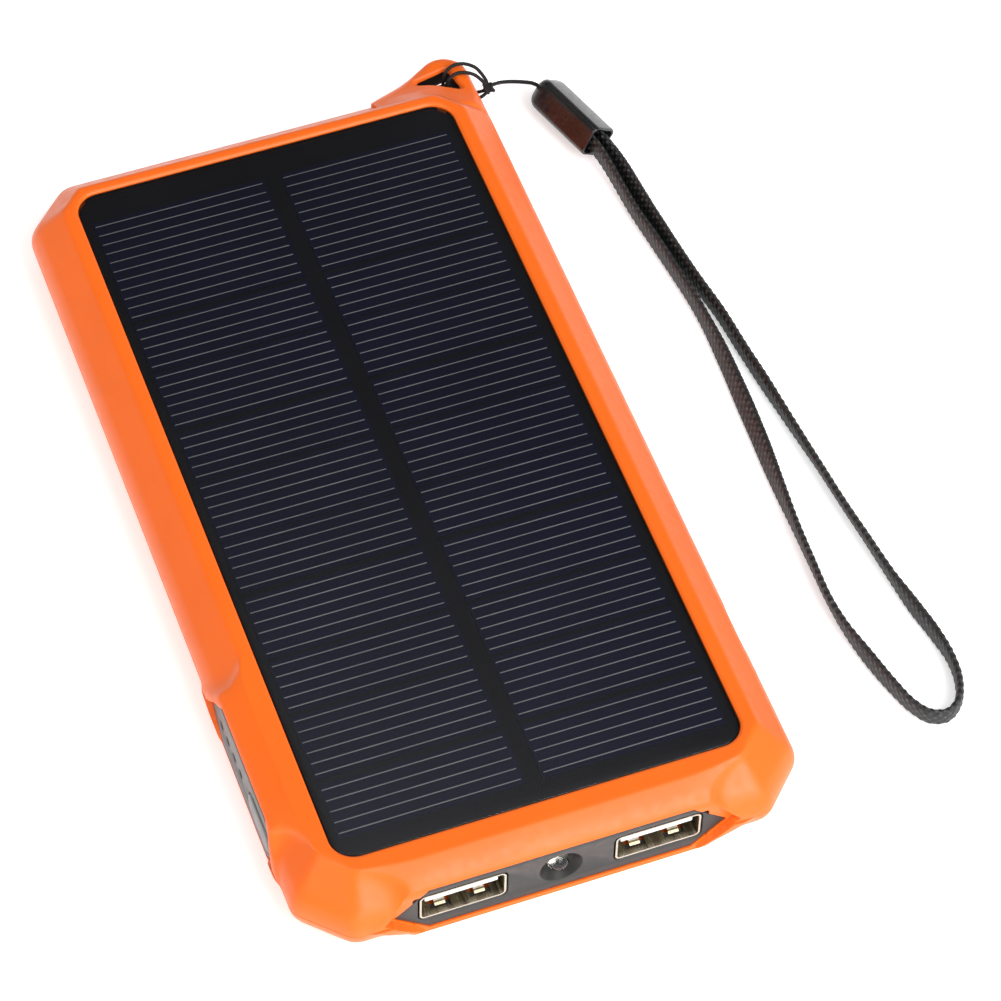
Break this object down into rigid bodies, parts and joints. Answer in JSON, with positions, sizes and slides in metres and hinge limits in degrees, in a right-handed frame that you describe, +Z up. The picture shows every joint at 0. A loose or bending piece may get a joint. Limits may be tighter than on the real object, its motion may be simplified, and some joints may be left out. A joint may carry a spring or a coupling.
{
  "type": "solar phone charger",
  "caption": "Slim orange power bank with a solar panel on top, output sockets and a torch in one end, a side control strip and a wrist strap",
  "frame": {"origin": "on the rest plane, under the middle of the case with its lug", "axes": "+X to the right seen from the port end, +Y from the port end to the lug end, +Z up out of the panel"},
  "size_m": [0.109, 0.151, 0.0152],
  "materials": {
    "orange_plastic": "satin moulded, fine grain",
    "grey_plastic": "satin moulded",
    "black_plastic": "smooth moulded",
    "clear_plastic": "clear, polished",
    "pale_plastic": "moulded",
    "plated_steel": "nickel plated",
    "gold_contact": "plated",
    "board_laminate": "solder mask",
    "ferrite": "moulded core",
    "foil": "pouch foil and can",
    "red_wire": "insulation",
    "black_wire": "insulation",
    "panel_back": "laminate",
    "cell_silicon": "dark blue-black cells",
    "cell_silver": "printed silver paste",
    "panel_face": "clear satin laminate",
    "black_cord": "braided polyester"
  },
  "bodies": {
    "case": {"top_shell": "orange_plastic", "bottom_shell": "orange_plastic", "port_bezel": "grey_plastic", "control_bezel": "grey_plastic", "tact_switch": "black_plastic", "light_pipe": "clear_plastic", "indicator_leds": "pale_plastic", "torch_led": "clear_plastic", "torch_led_legs": "plated_steel", "usb_left_shell": "plated_steel", "usb_left_tongue": "pale_plastic", "usb_left_contacts": "gold_contact", "usb_right_shell": "plated_steel", "usb_right_tongue": "pale_plastic", "usb_right_contacts": "gold_contact", "micro_usb_shell": "plated_steel", "micro_usb_tongue": "black_plastic", "micro_usb_contacts": "gold_contact", "main_board": "board_laminate", "board_screws": "plated_steel", "power_inductor": "ferrite", "buffer_capacitors": "foil", "control_chips": "black_plastic", "battery_cell_left": "foil", "battery_cell_right": "foil", "battery_protection_board": "board_laminate", "battery_pads": "pale_plastic", "battery_lead_red": "red_wire", "battery_lead_black": "black_wire", "solar_lead_red": "red_wire", "solar_lead_black": "black_wire", "solar_backplate": "panel_back", "solar_cells": "cell_silicon", "cell_fingers": "cell_silver", "panel_cover": "panel_face", "panel_adhesive": "pale_plastic", "case_screws": "plated_steel", "lanyard_cord": "black_cord", "lanyard_knot": "black_cord", "strap_ferrule": "black_plastic", "wrist_strap": "black_cord"},
    "button": {"power_button": "grey_plastic", "switch_plunger": "black_plastic"}
  },
  "joints": [
    {"name": "power_button_press", "type": "slide", "parent": "case", "child": "button", "axis": [1, 0, 0], "range_m": [0, 0.00035], "stiffness_N_per_m": 600}
  ]
}
